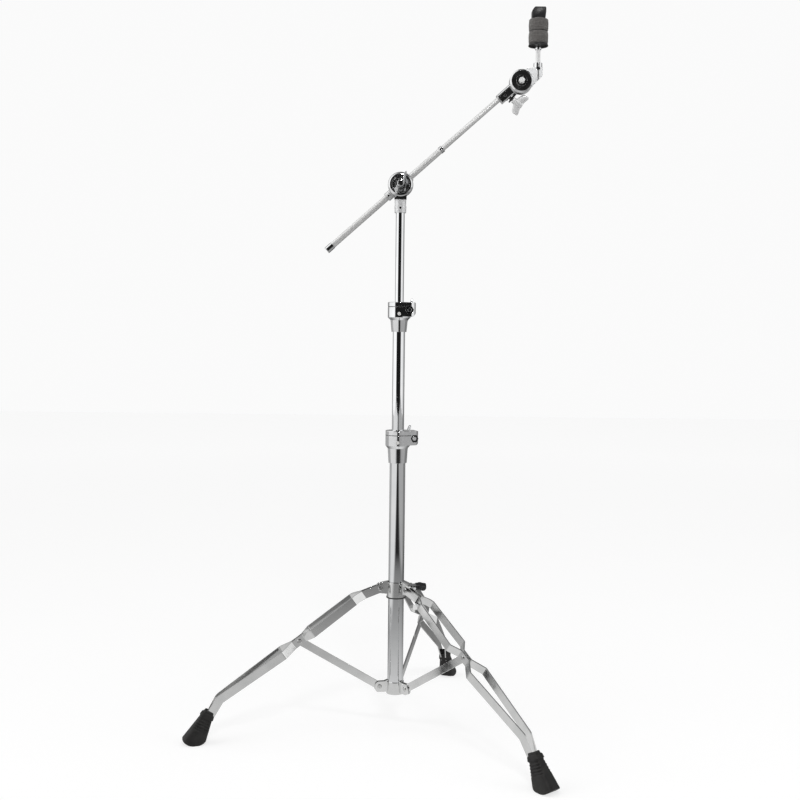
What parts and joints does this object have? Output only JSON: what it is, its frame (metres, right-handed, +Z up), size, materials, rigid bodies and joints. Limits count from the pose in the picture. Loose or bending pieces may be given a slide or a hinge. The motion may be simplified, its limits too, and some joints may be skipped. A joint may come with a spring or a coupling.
{
  "type": "cymbal boom stand",
  "caption": "Chrome cymbal boom stand: double-braced folding tripod, telescopic mast with wing-screw clamps, tilting boom and felted cymbal post.",
  "frame": {"origin": "on the floor, on the axis of the mast, midway between the three feet", "axes": "+Z up along the mast; the boom lies in the XZ plane and rises towards +X; the boom tilter's wing nut faces -Y"},
  "size_m": [0.6485, 0.6665, 1.314],
  "materials": {
    "chrome_tube": "bright chrome plate on steel tube",
    "chrome_boom": "bright chrome plate on the boom",
    "chrome_casting": "chrome plate on die-cast metal, slightly softened edges",
    "chrome_stamping": "chrome plate on pressed steel",
    "chrome_leg": "chrome plate on flat steel bar",
    "rivet_steel": "plated steel rivet heads",
    "chrome_fastener": "chrome-plated fasteners",
    "dark_steel": "black-oxide steel screws and nuts",
    "threaded_steel": "zinc-plated threaded rod",
    "nylon": "natural white nylon",
    "black_nylon": "black nylon",
    "black_plastic": "moulded black plastic",
    "foot_rubber": "moulded black rubber",
    "felt": "pressed grey wool felt"
  },
  "bodies": {
    "root": {"base_tube": "chrome_tube", "lower_leg_collar": "chrome_stamping", "lower_collar_rivets": "rivet_steel", "lower_clamp_body": "chrome_casting", "lower_clamp_bushing": "nylon", "lower_clamp_nut": "dark_steel"},
    "lower_wing_screw": {"lower_clamp_wing_screw": "chrome_fastener"},
    "middle_plug": {"middle_tube_end_plug": "black_nylon"},
    "middle_mast": {"middle_tube": "chrome_tube", "upper_clamp_body": "chrome_casting", "upper_clamp_bushing": "nylon", "upper_clamp_nut": "dark_steel"},
    "upper_wing_screw": {"upper_clamp_wing_screw": "chrome_fastener"},
    "top_plug": {"top_tube_end_plug": "black_nylon"},
    "top_mast": {"top_tube": "chrome_tube", "boom_tilter_base": "chrome_casting", "tilter_base_set_screw": "dark_steel", "boom_tilter_washer": "chrome_fastener"},
    "boom_clamp": {"boom_holder": "chrome_casting", "boom_holder_set_screw": "dark_steel", "boom_eye_bolt": "chrome_fastener"},
    "boom_wing_nut": {"boom_tilter_wing_nut": "chrome_fastener"},
    "boom_cap": {"boom_end_cap": "chrome_boom"},
    "boom": {"boom_tube": "chrome_boom", "boom_stop_ring": "chrome_boom", "boom_rod": "chrome_boom", "cymbal_tilter_body": "chrome_casting", "cymbal_tilter_set_screw": "dark_steel", "cymbal_tilter_pivot_bolt": "chrome_fastener", "cymbal_tilter_clamp_stud": "dark_steel"},
    "tilter_wing_nut": {"cymbal_tilter_wing_nut": "chrome_fastener"},
    "cymbal_arm": {"cymbal_tilter_arm": "chrome_casting", "cymbal_tilter_washer": "chrome_fastener", "cymbal_post": "threaded_steel", "post_stop_nut": "chrome_fastener", "felt_cup": "black_plastic", "post_sleeve": "black_nylon", "lower_felt": "felt"},
    "top_felt": {"upper_felt": "felt"},
    "top_nut": {"cymbal_nut": "black_plastic"},
    "leg_collar": {"upper_leg_collar": "chrome_stamping", "leg_collar_liner": "black_nylon", "upper_collar_rivets": "rivet_steel"},
    "collar_wing_screw": {"leg_collar_screw": "chrome_fastener", "leg_collar_knob": "black_plastic"},
    "left_strut": {"left_strut": "chrome_leg"},
    "left_leg": {"left_leg_bar_a": "chrome_leg", "left_leg_bar_b": "chrome_leg", "left_leg_rivet": "rivet_steel", "left_rubber_foot": "foot_rubber"},
    "right_strut": {"right_strut": "chrome_leg"},
    "right_leg": {"right_leg_bar_a": "chrome_leg", "right_leg_bar_b": "chrome_leg", "right_leg_rivet": "rivet_steel", "right_rubber_foot": "foot_rubber"},
    "back_strut": {"back_strut": "chrome_leg"},
    "back_leg": {"back_leg_bar_a": "chrome_leg", "back_leg_bar_b": "chrome_leg", "back_leg_rivet": "rivet_steel", "back_rubber_foot": "foot_rubber"}
  },
  "joints": [
    {"name": "leg_fold", "type": "hinge", "parent": "root", "child": "left_strut", "pos_m": [-0.02934, -0.00624, 0.086], "axis": [-0.2079, 0.9781, 0], "range_deg": [-10, 50]},
    {"name": "left_leg_swing", "type": "hinge", "parent": "left_strut", "child": "left_leg", "pos_m": [-0.17362, -0.0369, 0.177], "axis": [-0.2079, 0.9781, 0], "range_deg": [-102, 22]},
    {"name": "collar_pivot", "type": "hinge", "parent": "left_leg", "child": "leg_collar", "pos_m": [-0.02934, -0.00624, 0.268], "axis": [-0.2079, 0.9781, 0], "range_deg": [-11, 51]},
    {"name": "right_strut_fold", "type": "hinge", "parent": "root", "child": "right_strut", "pos_m": [0.02007, -0.02229, 0.086], "axis": [-0.7431, -0.6691, 0], "range_deg": [-11, 51]},
    {"name": "right_leg_swing", "type": "hinge", "parent": "right_strut", "child": "right_leg", "pos_m": [0.11877, -0.13191, 0.177], "axis": [-0.7431, -0.6691, 0], "range_deg": [-102, 22]},
    {"name": "back_strut_fold", "type": "hinge", "parent": "root", "child": "back_strut", "pos_m": [0.00927, 0.02853, 0.086], "axis": [0.9511, -0.309, 0], "range_deg": [-11, 51]},
    {"name": "back_leg_swing", "type": "hinge", "parent": "back_strut", "child": "back_leg", "pos_m": [0.05485, 0.16881, 0.177], "axis": [0.9511, -0.309, 0], "range_deg": [-102, 22]},
    {"name": "collar_screw_turn", "type": "hinge", "parent": "leg_collar", "child": "collar_wing_screw", "pos_m": [0.03913, 0.00832, 0.268], "axis": [0.9781, 0.2079, 0], "continuous": true},
    {"name": "lower_screw_turn", "type": "hinge", "parent": "root", "child": "lower_wing_screw", "pos_m": [0.0176, 0.02675, 0.543], "axis": [-0.309, 0.9511, 0], "continuous": true},
    {"name": "middle_height", "type": "slide", "parent": "root", "child": "middle_plug", "axis": [0, 0, 1], "range_m": [-0.17, 0.19]},
    {"name": "middle_swivel", "type": "hinge", "parent": "middle_plug", "child": "middle_mast", "pos_m": [0, 0, 0.4], "axis": [0, 0, 1], "continuous": true},
    {"name": "upper_screw_turn", "type": "hinge", "parent": "middle_mast", "child": "upper_wing_screw", "pos_m": [0.0186, 0.02, 0.775], "axis": [0, 1, 0], "continuous": true},
    {"name": "top_height", "type": "slide", "parent": "middle_mast", "child": "top_plug", "axis": [0, 0, 1], "range_m": [-0.155, 0.2]},
    {"name": "top_swivel", "type": "hinge", "parent": "top_plug", "child": "top_mast", "pos_m": [0, 0, 0.7], "axis": [0, 0, 1], "continuous": true},
    {"name": "boom_tilt", "type": "hinge", "parent": "top_mast", "child": "boom_clamp", "pos_m": [0, 0, 0.9985], "axis": [0, 1, 0], "range_deg": [-23, 106]},
    {"name": "boom_wing_nut_turn", "type": "hinge", "parent": "boom_clamp", "child": "boom_wing_nut", "pos_m": [0, -0.024, 0.9985], "axis": [0, -1, 0], "continuous": true},
    {"name": "boom_slide", "type": "slide", "parent": "boom_clamp", "child": "boom_cap", "axis": [0.7466, 0, 0.6652], "range_m": [-0.07, 0.12]},
    {"name": "boom_turn", "type": "hinge", "parent": "boom_cap", "child": "boom", "pos_m": [0, 0.006, 0.9985], "axis": [0.7466, 0, 0.6652], "continuous": true},
    {"name": "cymbal_tilt", "type": "hinge", "parent": "boom", "child": "cymbal_arm", "pos_m": [0.21288, 0, 1.18348], "axis": [0, 1, 0], "range_deg": [-115, 50]},
    {"name": "tilter_wing_nut_turn", "type": "hinge", "parent": "boom", "child": "tilter_wing_nut", "pos_m": [0.19443, 0.0045, 1.15612], "axis": [0.829, 0, -0.5592], "continuous": true},
    {"name": "felt_lift", "type": "slide", "parent": "cymbal_arm", "child": "top_felt", "axis": [0, 0, 1], "range_m": [0, 0.012]},
    {"name": "cymbal_nut_turn", "type": "hinge", "parent": "top_felt", "child": "top_nut", "pos_m": [0.24248, 0, 1.3], "axis": [0, 0, 1], "continuous": true}
  ],
  "couplings": [
    {"joint": "left_leg_swing", "follows": "leg_fold", "ratio": -2},
    {"joint": "right_strut_fold", "follows": "leg_fold", "ratio": 1},
    {"joint": "right_leg_swing", "follows": "leg_fold", "ratio": -2},
    {"joint": "back_strut_fold", "follows": "leg_fold", "ratio": 1},
    {"joint": "back_leg_swing", "follows": "leg_fold", "ratio": -2},
    {"joint": "collar_pivot", "follows": "leg_fold", "ratio": 1}
  ]
}
